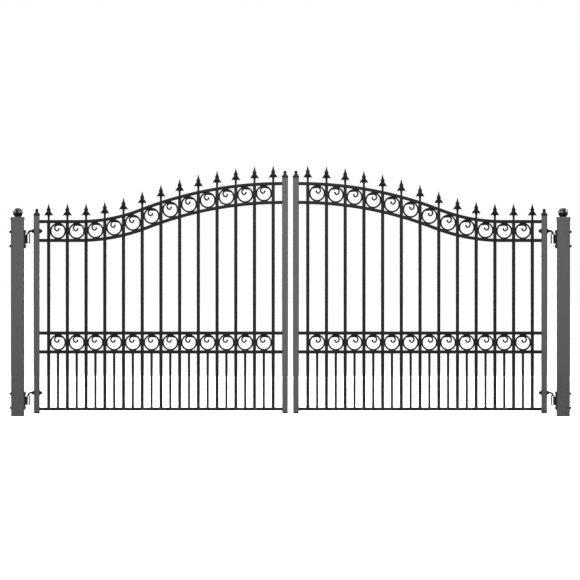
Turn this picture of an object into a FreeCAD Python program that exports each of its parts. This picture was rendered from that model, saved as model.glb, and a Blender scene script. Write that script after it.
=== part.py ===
import FreeCAD, Part
import os
from math import asin, cos, floor, hypot, radians, sin, sqrt

# Ornamental double-leaf swing gate with its two posts, closed.  Millimetres, +Z up, +X along the
# gate, the outer face of the gate towards -Y.  The origin is on the ground line, midway between
# the posts.  Everything is built for the left half, and the right half is its mirror image.

V = FreeCAD.Vector
UP = V(0, 0, 1)
ALONG = V(1, 0, 0)
ACROSS = V(0, 1, 0)

# ------------------------------------------------------------------------- driving dimensions
# Posts, with their caps and balls
OVERALL_WIDTH = 4267.2      # over the outer faces of the two posts
POST = 101.6                # square post tube
POST_WALL = 3.0
POST_CORNER = 8.0
POST_ABOVE_BAND = 80.2      # top of the post tube above the curved band's low centreline
POST_CAP_LIP = 3.0          # how far the cap stands out beyond the tube, all round
POST_CAP_H = 26.0           # height of the cap above the tube
POST_CAP_PLUG = 16.0        # how far the cap reaches down inside the tube
POST_CAP_WALL = 6.0         # the casting is hollow from below
POST_CAP_EASE = 4.0         # rounding of its top edge
CAP_CLEARANCE = 0.3         # between a cap and its tube
POST_BALL_R = 38.0
POST_BALL_NECK_R = 26.0
POST_BALL_NECK = 6.0        # height of the collar under the ball
POST_BALL_SEAT = 32.0       # ball centre above the cap

# Leaf frame
STILE = 45.0                # square stile tube
STILE_WALL = 2.5
STILE_CORNER = 6.0
LEAF_GAP = 38.4             # between the two closed leaves
LEAF_BOTTOM = 21.0          # ground clearance under the stile plugs
STILE_ABOVE_RAIL = 54.0     # stile top above the top rail's centre
BAR = 25.0                  # square rails and pickets
BAR_WALL = 1.6
BAR_CORNER = 4.0
DOG_BAR = 19.0              # thin bars between the pickets, low down
DOG_BAR_WALL = 1.5
DOG_BAR_CORNER = 3.0
PICKET_PITCH = 143.0
END_BAY_MIN = 65.0          # least distance from a stile's centre to the first picket's
BOTTOM_RAIL_Z = 55.4
LOWER_BAND_Z = 564.0        # centre of the straight band of scrolls
UPPER_BAND_Z = 1415.8       # centre of the curved band at the hinge stile
UPPER_BAND_RISE = 290.5     # its rise from the hinge stile to the meeting stile
LOW_FLAT = 323.0            # level run of the curved band from the hinge stile's centre
HIGH_FLAT = 32.0            # level run of it before the meeting stile's centre
CONCAVE_R = 1361.0          # first bend of the curved band's centreline

# Stile caps and plugs
STILE_CAP_LIP = 2.0
STILE_CAP_SKIRT = 8.0
STILE_CAP_TOP = 4.0
STILE_CAP_SLOPE = 18.0      # height of its pyramid
STILE_CAP_NECK = 18.0       # width of the pyramid's top
STILE_BALL_R = 12.5
STILE_BALL_SINK = 2.0       # how far the ball is let into the pyramid
PLUG_FLANGE = 14.0
PLUG_DEPTH = 18.0
PLUG_CLEARANCE = 0.2

# Scrolls
SCROLL_DEPTH = 13.0
RING_BAR = 13.0             # radial width of the ring
RING_LET_IN = 3.5           # its round is trimmed flat by this much against the pickets
BAND_EXTRA = 0.5            # the bands are this much taller than the bays are wide, each side
CURL_BAR = 12.0
CURL_R = 22.0               # centreline radius of the inner curl
CURL_END_R = 12.0           # centreline radius of its last turn
CURL_LEAD_R = 200.0         # slow bend where the curl leaves the ring
CURL_OFFSET = -3.3          # curl centre from the ring's, along X
CURL_BITE = 2.1             # how far the curl is forged into the ring
CURL_TURN = 255.0           # angle where the last turn starts, degrees from +X
CURL_STOP = 368.0           # angle where it ends, in the ball
CURL_BALL_R = 7.4

# Spears, heights above the top rail
SPEAR_STEM_W = 16.0
SPEAR_DEPTH = 15.0
SPEAR_BARB_Z = 40.0
SPEAR_BARB_W = 64.0         # across the two barb points
SPEAR_WAIST_Z = 66.0
SPEAR_WAIST_W = 26.0
SPEAR_BULGE_Z = 77.0
SPEAR_BULGE_W = 33.0
SPEAR_NECK_Z = 93.0
SPEAR_NECK_W = 15.0
SPEAR_TIP_Z = 124.0
SPEAR_TIP_W = 3.0
SPEAR_BOSS_Z = 51.0
SPEAR_BOSS_R = 7.0
SPEAR_BOSS_OUT = 3.0        # how far the boss stands out of each face

# Hinges: a bent bolt through the stile turns in a barrel on a plate bolted to the post
ROD_R = 8.0
ROD_BEND_R = 20.0
ROD_STUB = 20.0             # length of rod beyond the stile, on the leaf's side
ROD_TAPER = 3.0
ROD_HOLE_CLEARANCE = 0.5
PIN_CLEARANCE = 0.08        # radial, pin in barrel
LOWER_ROD_Z = 180.0
HINGE_NUT_R = 19.0
HINGE_NUT_RIM = 2.5
HINGE_NUT_CONE = 9.0
HINGE_NUT_AF = 24.0
HINGE_NUT_L = 16.0
NUT_TO_BEND = 7.0           # bare rod between the outer nut and the bend
NUT_CLEARANCE = 0.1         # radial, nut on its bolt
SHOULDER_R = 15.0
SHOULDER_RIM = 2.0
SHOULDER_H = 6.5
THRUST_GAP = 0.3            # between the shoulder and the barrel
BARREL_R = 17.0
BARREL_L = 69.0
BARREL_WEB = 14.0           # width of the web that joins the barrel to its plate
PIN_SHORT = 4.0             # how far the pin stops inside the barrel's lower end
SWING_CLEARANCE = 2.5       # open leaf's stile to the post cap
PLATE_T = 8.0
PLATE_W = 50.0
PLATE_H = 140.0
PLATE_CORNER = 6.0
BOLT_R = 6.0
BOLT_HOLE_R = 6.5
BOLT_SPAN = 109.0           # between the two bolts of a plate
BOLT_HEAD_R = 11.5
BOLT_HEAD_H = 5.0
BOLT_OUT = 12.0             # thread beyond the post
BOLT_NUT_AF = 19.0
BOLT_NUT_HEX = 9.0
BOLT_NUT_L = 17.0
BOLT_NUT_FLOOR = 1.0        # left between the bolt's end and the bottom of the nut's blind hole

# --------------------------------------------------------------------------- derived places
POST_X = -(OVERALL_WIDTH - POST) / 2
POST_INNER_X = POST_X + POST / 2
POST_OUTER_X = POST_X - POST / 2
PIN_X = POST_INNER_X + STILE / 2 + POST_CAP_LIP + SWING_CLEARANCE
HINGE_STILE_OUTER_X = PIN_X + ROD_BEND_R + NUT_TO_BEND + HINGE_NUT_L
HINGE_STILE_X = HINGE_STILE_OUTER_X + STILE / 2
MEETING_STILE_X = -(LEAF_GAP + STILE) / 2
LEAF_LEFT = HINGE_STILE_X + STILE / 2           # clear space inside the leaf frame
LEAF_RIGHT = MEETING_STILE_X - STILE / 2

STILE_SPAN = MEETING_STILE_X - HINGE_STILE_X
BAYS = floor((STILE_SPAN - 2 * END_BAY_MIN) / PICKET_PITCH)
FIRST_PICKET_X = HINGE_STILE_X + (STILE_SPAN - BAYS * PICKET_PITCH) / 2
PICKET_XS = [FIRST_PICKET_X + i * PICKET_PITCH for i in range(BAYS + 1)]
BAY_XS = [x + PICKET_PITCH / 2 for x in PICKET_XS[:-1]]

BAY_HALF = (PICKET_PITCH - BAR) / 2             # clear half-width between two pickets
RING_R = BAY_HALF + RING_LET_IN
BAND_HALF = BAY_HALF + BAND_EXTRA + BAR / 2     # band centreline to either rail's centre
STILE_BOTTOM = LEAF_BOTTOM + PLUG_FLANGE
HINGE_STILE_TOP = UPPER_BAND_Z + BAND_HALF + STILE_ABOVE_RAIL
MEETING_STILE_TOP = HINGE_STILE_TOP + UPPER_BAND_RISE

# The curved band is level, bends up about C1, bends back about C2, and is level again.  The two
# arcs meet on the line between their centres, so the sum of their radii follows from the run
# and the rise.
CURVE_START_X = HINGE_STILE_X + LOW_FLAT
CURVE_END_X = MEETING_STILE_X - HIGH_FLAT
CURVE_RUN = CURVE_END_X - CURVE_START_X
RADII_SUM = (CURVE_RUN ** 2 + UPPER_BAND_RISE ** 2) / (2 * UPPER_BAND_RISE)
CONVEX_R = RADII_SUM - CONCAVE_R
BEND_ANGLE = asin(CURVE_RUN / RADII_SUM)
C1 = V(CURVE_START_X, 0, UPPER_BAND_Z + CONCAVE_R)
C2 = V(CURVE_END_X, 0, UPPER_BAND_Z + UPPER_BAND_RISE - CONVEX_R)

POST_HEIGHT = UPPER_BAND_Z + POST_ABOVE_BAND
ROD_ZS = {"upper": UPPER_BAND_Z, "lower": LOWER_ROD_Z}
BARREL_DROP = ROD_BEND_R + SHOULDER_H + THRUST_GAP      # rod centre to the barrel's top
PLATE_DROP = BARREL_DROP + BARREL_L / 2                 # rod centre to the plate's centre
PLATE_FACE_X = POST_INNER_X + PLATE_T


# ------------------------------------------------------------------------------ basic shapes
def polar(centre, radius, angle):
    """Point at an angle from +X towards +Z, in the plane of the gate."""
    return V(centre.x + radius * cos(angle), 0, centre.z + radius * sin(angle))


def arc(centre, radius, start, stop):
    """Arc edge in the plane of the gate, between two angles in radians."""
    middle = (start + stop) / 2
    points = [polar(centre, radius, a) for a in (start, middle, stop)]
    return Part.Arc(*points).toShape()


def line(a, b):
    return Part.LineSegment(a, b).toShape()


def square_outline(width, corner):
    """Square wire with rounded corners, about the origin in XY."""
    half = width / 2
    inner = half - corner
    diagonal = inner + corner * sqrt(0.5)
    edges = []
    for turn in range(4):
        side = line(V(half, -inner, 0), V(half, inner, 0))
        bend = Part.Arc(V(half, inner, 0), V(diagonal, diagonal, 0), V(inner, half, 0)).toShape()
        for edge in (side, bend):
            edge.rotate(V(0, 0, 0), UP, 90 * turn)
            edges.append(edge)
    return Part.Wire(edges)


def square_bar(width, corner, low, high):
    """Upright square bar with rounded corners, between two heights."""
    bar = Part.Face(square_outline(width, corner)).extrude(UP * (high - low))
    bar.translate(UP * low)
    return bar


def square_tube(width, wall, corner, low, high):
    inner = square_bar(width - 2 * wall, max(corner - wall, 0.5), low, high)
    return square_bar(width, corner, low, high).cut(inner)


def tube_section(x, z):
    """Section of a rail, facing along +X, as a ring-shaped face."""
    inner = Part.Face(square_outline(BAR - 2 * BAR_WALL, BAR_CORNER - BAR_WALL))
    section = Part.Face(square_outline(BAR, BAR_CORNER)).cut(inner)
    section.rotate(V(0, 0, 0), ACROSS, 90)
    section.translate(V(x, 0, z))
    return section.Faces[0]


def rod_along(radius, start, length, direction):
    return Part.makeCylinder(radius, length, start, direction)


def hexagon(across_flats, length, start, direction):
    """Hexagonal prism about a horizontal axis."""
    reach = across_flats / 2 / cos(radians(30))
    corners = [V(0, reach * cos(radians(60 * i)), reach * sin(radians(60 * i))) for i in range(7)]
    prism = Part.Face(Part.makePolygon(corners)).extrude(direction * length)
    prism.translate(start)
    return prism


def cut_holes(shape, tools):
    for tool in tools:
        shape = shape.cut(tool)
    return shape


# --------------------------------------------------------------------------- the curved band
def band_edges(offset, start_x=LEAF_LEFT, end_x=LEAF_RIGHT):
    """Line, arc, arc, line: the band's centreline moved up square to itself by offset."""
    low = UPPER_BAND_Z + offset
    high = low + UPPER_BAND_RISE
    first = arc(C1, CONCAVE_R - offset, radians(-90), radians(-90) + BEND_ANGLE)
    second = arc(C2, CONVEX_R + offset, radians(90) + BEND_ANGLE, radians(90))
    return [
        line(V(start_x, 0, low), V(CURVE_START_X, 0, low)),
        first,
        second,
        line(V(CURVE_END_X, 0, high), V(end_x, 0, high)),
    ]


def band_height(x, offset=0.0):
    """Height above the ground, at x, of the band's centreline moved up by offset."""
    if x <= CURVE_START_X:
        return UPPER_BAND_Z + offset
    if x <= CURVE_START_X + (CONCAVE_R - offset) * sin(BEND_ANGLE):
        return C1.z - sqrt((CONCAVE_R - offset) ** 2 - (x - C1.x) ** 2)
    if x <= CURVE_END_X:
        return C2.z + sqrt((CONVEX_R + offset) ** 2 - (C2.x - x) ** 2)
    return UPPER_BAND_Z + UPPER_BAND_RISE + offset


def curved_rail(offset):
    """Square tube bent to the band's line, its section swept along the path."""
    path = Part.Wire(band_edges(offset))
    return path.makePipe(tube_section(LEAF_LEFT, UPPER_BAND_Z + offset))


def curved_block(offset):
    """Plain solid that fills a curved rail, for coping what is welded to it."""
    low = band_edges(offset - BAR / 2)
    high = band_edges(offset + BAR / 2)
    ends = [line(a[i].Vertexes[j].Point, b[i].Vertexes[j].Point)
            for a, b, i, j in ((low, high, 0, 0), (low, high, -1, -1))]
    block = Part.Face(Part.Wire(Part.__sortEdges__(low + high + ends))).extrude(ACROSS * POST)
    block.translate(ACROSS * (-POST / 2))
    return block


def straight_rail(z):
    return tube_section(LEAF_LEFT, z).extrude(ALONG * (LEAF_RIGHT - LEAF_LEFT))


def straight_block(z):
    size = (LEAF_RIGHT - LEAF_LEFT, POST, BAR)
    return Part.makeBox(*size, V(LEAF_LEFT, -POST / 2, z - BAR / 2))


# ------------------------------------------------------------------------------- the pickets
def picket_rows():
    """Picket lengths between the rails, lowest row first, each coped to the rails it meets."""
    bars = [
        straight_block(BOTTOM_RAIL_Z),
        straight_block(LOWER_BAND_Z - BAND_HALF),
        straight_block(LOWER_BAND_Z + BAND_HALF),
        curved_block(-BAND_HALF),
        curved_block(BAND_HALF),
    ]
    rows = [[], [], [], []]
    for x in PICKET_XS:
        top = band_height(x, BAND_HALF)
        picket = square_tube(BAR, BAR_WALL, BAR_CORNER, BOTTOM_RAIL_Z, top)
        picket.translate(ALONG * x)
        lengths = sorted(picket.cut(bars).Solids, key=lambda s: s.CenterOfMass.z)
        for row, length in zip(rows, lengths, strict=True):
            row.append(length)
    return rows


def dog_bars():
    low = BOTTOM_RAIL_Z + BAR / 2
    high = LOWER_BAND_Z - BAND_HALF - BAR / 2
    bars = []
    for x in BAY_XS:
        bar = square_tube(DOG_BAR, DOG_BAR_WALL, DOG_BAR_CORNER, low, high)
        bar.translate(ALONG * x)
        bars.append(bar)
    return bars


# ------------------------------------------------------------------------------- the scrolls
def curl_outline(side):
    """Curl's three arcs, from the ring inwards; side is +1 for its outer edge, -1 for its inner."""
    crown = RING_R - RING_BAR - CURL_BAR / 2 + CURL_BITE
    lead = V(CURL_OFFSET, 0, crown - CURL_LEAD_R)
    curl = V(CURL_OFFSET, 0, crown - CURL_R)
    turn = radians(CURL_TURN)
    end = V(curl.x + (CURL_R - CURL_END_R) * cos(turn), 0, curl.z + (CURL_R - CURL_END_R) * sin(turn))
    # the curl starts where its slow bend crosses the ring's own centreline
    ring_mid = RING_R - RING_BAR / 2
    reach = hypot(lead.x, lead.z)
    along = (reach ** 2 + CURL_LEAD_R ** 2 - ring_mid ** 2) / (2 * reach)
    start = asin(-lead.z / reach) - asin(sqrt(1 - (along / CURL_LEAD_R) ** 2))
    shift = side * CURL_BAR / 2
    return [
        arc(lead, CURL_LEAD_R + shift, start, radians(90)),
        arc(curl, CURL_R + shift, radians(90), turn),
        arc(end, CURL_END_R + shift, turn, radians(CURL_STOP)),
    ], polar(end, CURL_END_R, radians(CURL_STOP))


def scroll():
    """One scroll about the origin: a ring of flat bar whose end curls in to a forged ball."""
    outer, ball_centre = curl_outline(1)
    inner, ball_centre = curl_outline(-1)
    ends = [line(outer[i].Vertexes[j].Point, inner[i].Vertexes[j].Point) for i, j in ((0, 0), (-1, -1))]
    curl = Part.Face(Part.Wire(Part.__sortEdges__(outer + inner + ends))).extrude(ACROSS * SCROLL_DEPTH)
    curl.translate(ACROSS * (-SCROLL_DEPTH / 2))
    front = ACROSS * (-SCROLL_DEPTH / 2)
    ring = Part.makeCylinder(RING_R, SCROLL_DEPTH, front, ACROSS)
    ring = ring.cut(Part.makeCylinder(RING_R - RING_BAR, SCROLL_DEPTH, front, ACROSS))
    ball = Part.makeSphere(CURL_BALL_R, ball_centre)
    return ring.fuse([curl, ball]).removeSplitter().Solids[0]


def scroll_row(height_at, rails):
    """A scroll in every bay, at the height that height_at gives, trimmed flat to its four bars."""
    one = scroll()
    row = []
    for x in BAY_XS:
        height = height_at(x)
        sides = [Part.makeBox(BAR, POST, 2 * PICKET_PITCH,
                              V(picket - BAR / 2, -POST / 2, height - PICKET_PITCH))
                 for picket in (x - PICKET_PITCH / 2, x + PICKET_PITCH / 2)]
        trimmed = one.translated(V(x, 0, height)).cut(sides + rails)
        row.append(max(trimmed.Solids, key=lambda s: s.Volume))
    return row


# -------------------------------------------------------------------------------- the spears
def spear_outline():
    """Front view of a spear, its stem running down into the rail that it is coped to."""
    half = [
        (SPEAR_STEM_W / 2, -BAR / 2),
        (SPEAR_STEM_W / 2, SPEAR_BARB_Z),
        (SPEAR_BARB_W / 2, SPEAR_BARB_Z - 3),
        (SPEAR_WAIST_W / 2, SPEAR_WAIST_Z),
        (SPEAR_NECK_W / 2, SPEAR_NECK_Z),
        (SPEAR_TIP_W / 2, SPEAR_TIP_Z),
    ]
    under_barb = (SPEAR_BARB_W / 3, SPEAR_BARB_Z + 2)
    barb_back = (SPEAR_BARB_W / 3, (SPEAR_BARB_Z + SPEAR_WAIST_Z) / 2)
    bulge = (SPEAR_BULGE_W / 2, SPEAR_BULGE_Z)
    edges = []
    for side in (1, -1):
        p = [V(side * x, 0, z) for x, z in half]
        via = [V(side * x, 0, z) for x, z in (under_barb, barb_back, bulge)]
        edges += [
            line(p[0], p[1]),
            Part.Arc(p[1], via[0], p[2]).toShape(),
            Part.Arc(p[2], via[1], p[3]).toShape(),
            Part.Arc(p[3], via[2], p[4]).toShape(),
            line(p[4], p[5]),
        ]
    for x, z in (half[0], half[-1]):
        edges.append(line(V(-x, 0, z), V(x, 0, z)))
    return Part.Wire(Part.__sortEdges__(edges))


def spear():
    """One cast spear about its own axis, flat bodied, thinning to its point, with a round boss."""
    deep = SPEAR_DEPTH / 2
    body = Part.Face(spear_outline()).extrude(ACROSS * SPEAR_DEPTH)
    body.translate(ACROSS * -deep)
    profile = [(-deep, -BAR), (deep, -BAR), (deep, SPEAR_BULGE_Z), (SPEAR_TIP_W / 2, SPEAR_TIP_Z)]
    profile += [(-SPEAR_TIP_W / 2, SPEAR_TIP_Z), (-deep, SPEAR_BULGE_Z), (-deep, -BAR)]
    side_view = Part.Face(Part.makePolygon([V(-SPEAR_BARB_W, y, z) for y, z in profile]))
    body = body.common(side_view.extrude(ALONG * (2 * SPEAR_BARB_W)))
    bosses = []
    for face in (-1, 1):
        centre = V(0, face * (deep + SPEAR_BOSS_OUT - SPEAR_BOSS_R), SPEAR_BOSS_Z)
        bosses.append(Part.makeSphere(SPEAR_BOSS_R, centre))
    return body.fuse(bosses).removeSplitter()


def spears():
    rail = curved_block(BAND_HALF)
    one = spear()
    row = []
    for x in PICKET_XS:
        placed = one.translated(V(x, 0, band_height(x, BAND_HALF + BAR / 2)))
        row.append(max(placed.cut(rail).Solids, key=lambda s: s.Volume))
    return row


# --------------------------------------------------------------------- stiles, caps and plugs
def stile(x, top, drilled):
    """Square stile tube; the hinge stile is drilled right through for its two hinge bolts."""
    tube = square_tube(STILE, STILE_WALL, STILE_CORNER, STILE_BOTTOM, top)
    tube.translate(ALONG * x)
    if drilled:
        start = x - STILE / 2 - 1
        radius = ROD_R + ROD_HOLE_CLEARANCE
        tube = cut_holes(tube, [rod_along(radius, V(start, 0, z), STILE + 2, ALONG)
                                for z in ROD_ZS.values()])
    return tube


def stile_cap(x, top):
    """Cast cap over the stile's end: square skirt, low pyramid and a ball."""
    width = STILE + 2 * STILE_CAP_LIP
    corner = STILE_CORNER + STILE_CAP_LIP
    crown = top + STILE_CAP_TOP
    skirt = square_bar(width, corner, top - STILE_CAP_SKIRT, crown)
    pocket = square_bar(STILE + 2 * CAP_CLEARANCE, STILE_CORNER, top - STILE_CAP_SKIRT, top)
    base = square_outline(width - 2 * STILE_CAP_LIP, corner)
    base.translate(UP * crown)
    neck = square_outline(STILE_CAP_NECK, STILE_CAP_NECK / 4)
    neck.translate(UP * (crown + STILE_CAP_SLOPE))
    pyramid = Part.makeLoft([base, neck], True)
    ball_z = crown + STILE_CAP_SLOPE + STILE_BALL_R - STILE_BALL_SINK
    ball = Part.makeSphere(STILE_BALL_R, UP * ball_z)
    cap = skirt.cut(pocket).fuse([pyramid, ball]).removeSplitter()
    cap.translate(ALONG * x)
    return cap.Solids[0]


def stile_plug(x):
    """Plastic plug pushed into the stile's foot."""
    inside = STILE - 2 * STILE_WALL - 2 * PLUG_CLEARANCE
    corner = max(STILE_CORNER - STILE_WALL, 0.5)
    boss = square_bar(inside, corner, STILE_BOTTOM, STILE_BOTTOM + PLUG_DEPTH)
    plug = square_bar(STILE, STILE_CORNER, LEAF_BOTTOM, STILE_BOTTOM).fuse(boss)
    plug.translate(ALONG * x)
    return plug.Solids[0]


# ------------------------------------------------------------------------------ hinge pieces
def hinge_bolt(rod_z):
    """Bent bolt: threaded rod through the stile, bend, thrust shoulder, and pin in the barrel."""
    tip_x = HINGE_STILE_X + STILE / 2 + ROD_STUB
    bend_centre = V(PIN_X + ROD_BEND_R, 0, rod_z - ROD_BEND_R)
    pin_bottom = rod_z - BARREL_DROP - BARREL_L + PIN_SHORT
    path = Part.Wire([
        line(V(tip_x - ROD_TAPER, 0, rod_z), V(bend_centre.x, 0, rod_z)),
        arc(bend_centre, ROD_BEND_R, radians(90), radians(180)),
        line(V(PIN_X, 0, bend_centre.z), V(PIN_X, 0, pin_bottom + ROD_TAPER)),
    ])
    start = V(tip_x - ROD_TAPER, 0, rod_z)
    section = Part.Face(Part.Wire(Part.makeCircle(ROD_R, start, ALONG)))
    rod = path.makePipe(section)
    thin = ROD_R - ROD_TAPER
    ends = [
        Part.makeCone(ROD_R, thin, ROD_TAPER, start, ALONG),
        Part.makeCone(ROD_R, thin, ROD_TAPER, V(PIN_X, 0, pin_bottom + ROD_TAPER), UP * -1),
    ]
    seat = bend_centre.z - SHOULDER_H
    shoulder = Part.makeCylinder(SHOULDER_R, SHOULDER_RIM, V(PIN_X, 0, seat))
    slope = SHOULDER_H - SHOULDER_RIM
    cone = Part.makeCone(SHOULDER_R, ROD_R, slope, V(PIN_X, 0, seat + SHOULDER_RIM))
    return rod.fuse(ends + [shoulder, cone]).removeSplitter().Solids[0]


def hinge_nut(face_x, direction, rod_z):
    """Nut with a coned flange, seated on a face of the stile."""
    start = V(face_x, 0, rod_z)
    rim = rod_along(HINGE_NUT_R, start, HINGE_NUT_RIM, direction)
    rim_end = start + direction * HINGE_NUT_RIM
    cone_end = HINGE_NUT_CONE - HINGE_NUT_RIM
    cone = Part.makeCone(HINGE_NUT_R, HINGE_NUT_AF / 2, cone_end, rim_end, direction)
    nut = rim.fuse([cone, hexagon(HINGE_NUT_AF, HINGE_NUT_L, start, direction)])
    bore = rod_along(ROD_R + NUT_CLEARANCE, start - direction, HINGE_NUT_L + 2, direction)
    return nut.cut(bore).removeSplitter().Solids[0]


def hinge_nuts():
    nuts = []
    for rod_z in ROD_ZS.values():
        nuts.append(hinge_nut(HINGE_STILE_OUTER_X, ALONG * -1, rod_z))
        nuts.append(hinge_nut(LEAF_LEFT, ALONG, rod_z))
    return nuts


def bolt_heights(rod_z):
    centre = rod_z - PLATE_DROP
    return [centre - BOLT_SPAN / 2, centre + BOLT_SPAN / 2]


def hinge_plate(rod_z):
    """Flat plate on the post's inner face, with a hole for each of its two bolts."""
    plate = Part.makeBox(PLATE_T, PLATE_W, PLATE_H,
                         V(POST_INNER_X, -PLATE_W / 2, rod_z - PLATE_DROP - PLATE_H / 2))
    corners = [e for e in plate.Edges if abs(e.tangentAt(e.FirstParameter).x) > 0.5]
    plate = plate.makeFillet(PLATE_CORNER, corners)
    return cut_holes(plate, [rod_along(BOLT_HOLE_R, V(POST_INNER_X - 1, 0, z), PLATE_T + 2, ALONG)
                             for z in bolt_heights(rod_z)])


def hinge_barrel(rod_z):
    """Barrel that the hinge bolt turns in, with the web that stands it off its plate."""
    bottom = V(PIN_X, 0, rod_z - BARREL_DROP - BARREL_L)
    barrel = Part.makeCylinder(BARREL_R, BARREL_L, bottom)
    web_corner = V(PLATE_FACE_X, -BARREL_WEB / 2, bottom.z)
    web = Part.makeBox(PIN_X - PLATE_FACE_X, BARREL_WEB, BARREL_L, web_corner)
    bore = Part.makeCylinder(ROD_R + PIN_CLEARANCE, BARREL_L, bottom)
    return barrel.fuse(web).cut(bore).removeSplitter().Solids[0]


def plate_bolts():
    """Round-headed bolts through plate and post."""
    bolts = []
    dome_r = (BOLT_HEAD_R ** 2 + BOLT_HEAD_H ** 2) / (2 * BOLT_HEAD_H)
    for rod_z in ROD_ZS.values():
        for z in bolt_heights(rod_z):
            face = V(PLATE_FACE_X, 0, z)
            length = PLATE_FACE_X - POST_OUTER_X + BOLT_OUT
            ball = Part.makeSphere(dome_r, face + ALONG * (BOLT_HEAD_H - dome_r))
            head = ball.common(rod_along(BOLT_HEAD_R, face, BOLT_HEAD_H, ALONG))
            shank = rod_along(BOLT_R, face, length, ALONG * -1)
            bolts.append(head.fuse(shank).removeSplitter().Solids[0])
    return bolts


def plate_nuts():
    """Domed nuts on the post's outer face."""
    nuts = []
    outward = ALONG * -1
    dome_r = BOLT_NUT_AF / 2
    for rod_z in ROD_ZS.values():
        for z in bolt_heights(rod_z):
            face = V(POST_OUTER_X, 0, z)
            body = hexagon(BOLT_NUT_AF, BOLT_NUT_HEX, face, outward)
            dome = Part.makeSphere(dome_r, face + outward * (BOLT_NUT_L - dome_r))
            front = rod_along(dome_r, face, BOLT_NUT_L, outward)
            bore_l = BOLT_OUT + BOLT_NUT_FLOOR
            bore = rod_along(BOLT_R + NUT_CLEARANCE, face, bore_l, outward)
            nut = body.fuse(dome.common(front)).cut(bore)
            nuts.append(nut.removeSplitter().Solids[0])
    return nuts


# ----------------------------------------------------------------------------------- the post
def post():
    tube = square_tube(POST, POST_WALL, POST_CORNER, 0, POST_HEIGHT)
    tube.translate(ALONG * POST_X)
    heights = [z for rod_z in ROD_ZS.values() for z in bolt_heights(rod_z)]
    start = POST_OUTER_X - 1
    return cut_holes(tube, [rod_along(BOLT_HOLE_R, V(start, 0, z), POST + 2, ALONG) for z in heights])


def post_cap():
    """Square cast cap on the post's end, its top edge rounded, with a plug down inside the tube."""
    width = POST + 2 * POST_CAP_LIP
    plug = POST - 2 * POST_WALL - 2 * CAP_CLEARANCE
    corner = POST_CORNER + POST_CAP_LIP
    top = POST_HEIGHT + POST_CAP_H
    foot = POST_HEIGHT - POST_CAP_PLUG
    cap = square_bar(width, corner, POST_HEIGHT, top)
    rim = [e for e in cap.Edges if min(v.Point.z for v in e.Vertexes) > top - 0.01]
    cap = cap.makeFillet(POST_CAP_EASE, rim)
    cap = cap.fuse(square_bar(plug, POST_CORNER - POST_WALL, foot, POST_HEIGHT))
    cap = cap.cut(square_bar(plug - 2 * POST_CAP_WALL, POST_CORNER / 2, foot, top - POST_CAP_WALL))
    cap.translate(ALONG * POST_X)
    return cap.Solids[0]


def post_ball():
    """Ball on a short round collar, standing on the cap."""
    base = V(POST_X, 0, POST_HEIGHT + POST_CAP_H)
    ball = Part.makeSphere(POST_BALL_R, base + UP * POST_BALL_SEAT)
    above = Part.makeCylinder(POST_BALL_R, 2 * POST_BALL_R, base)
    neck = Part.makeCylinder(POST_BALL_NECK_R, POST_BALL_NECK, base)
    return ball.common(above).fuse(neck).removeSplitter().Solids[0]


# --------------------------------------------------------------------------------- the object
def left_half():
    """Every node of the left half, by name, as a list of its solids."""
    lower_pickets, band_pickets, main_pickets, top_band_pickets = picket_rows()
    nodes = {
        "post": [post()],
        "post_cap": [post_cap()],
        "post_ball": [post_ball()],
        "hinge_barrels": [hinge_barrel(z) for z in ROD_ZS.values()],
        "plate_bolts": plate_bolts(),
        "plate_nuts": plate_nuts(),
        "hinge_stile": [stile(HINGE_STILE_X, HINGE_STILE_TOP, True)],
        "meeting_stile": [stile(MEETING_STILE_X, MEETING_STILE_TOP, False)],
        "hinge_stile_cap": [stile_cap(HINGE_STILE_X, HINGE_STILE_TOP)],
        "meeting_stile_cap": [stile_cap(MEETING_STILE_X, MEETING_STILE_TOP)],
        "stile_plugs": [stile_plug(HINGE_STILE_X), stile_plug(MEETING_STILE_X)],
        "top_rail": [curved_rail(BAND_HALF)],
        "second_rail": [curved_rail(-BAND_HALF)],
        "band_upper_rail": [straight_rail(LOWER_BAND_Z + BAND_HALF)],
        "band_lower_rail": [straight_rail(LOWER_BAND_Z - BAND_HALF)],
        "bottom_rail": [straight_rail(BOTTOM_RAIL_Z)],
        "top_band_pickets": top_band_pickets,
        "main_pickets": main_pickets,
        "band_pickets": band_pickets,
        "lower_pickets": lower_pickets,
        "dog_bars": dog_bars(),
        "spears": spears(),
        "top_scrolls": scroll_row(band_height, [curved_block(-BAND_HALF), curved_block(BAND_HALF)]),
        "band_scrolls": scroll_row(lambda x: LOWER_BAND_Z, [straight_block(LOWER_BAND_Z - BAND_HALF),
                                                            straight_block(LOWER_BAND_Z + BAND_HALF)]),
        "hinge_bolt_nuts": hinge_nuts(),
    }
    for level, rod_z in ROD_ZS.items():
        nodes[level + "_hinge_plate"] = [hinge_plate(rod_z)]
        nodes[level + "_hinge_bolt"] = [hinge_bolt(rod_z)]
    return nodes


def write(node, solids):
    shape = solids[0] if len(solids) == 1 else Part.makeCompound(solids)
    if not shape.isValid() or len(shape.Solids) != len(solids):
        raise ValueError(node + " is not a set of sound solids")
    shape.exportStep("parts/" + node + ".step")


os.makedirs("parts", exist_ok=True)
for name, solids in left_half().items():
    write("left_" + name, solids)
    write("right_" + name, [s.mirror(V(0, 0, 0), ALONG) for s in solids])
print("bays", BAYS, "convex radius", round(CONVEX_R, 1), "pin x", round(PIN_X, 2))
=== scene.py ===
from math import acos, atan2, cos, pi, radians, sin

import bpy
from mathutils import Matrix, Vector


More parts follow.
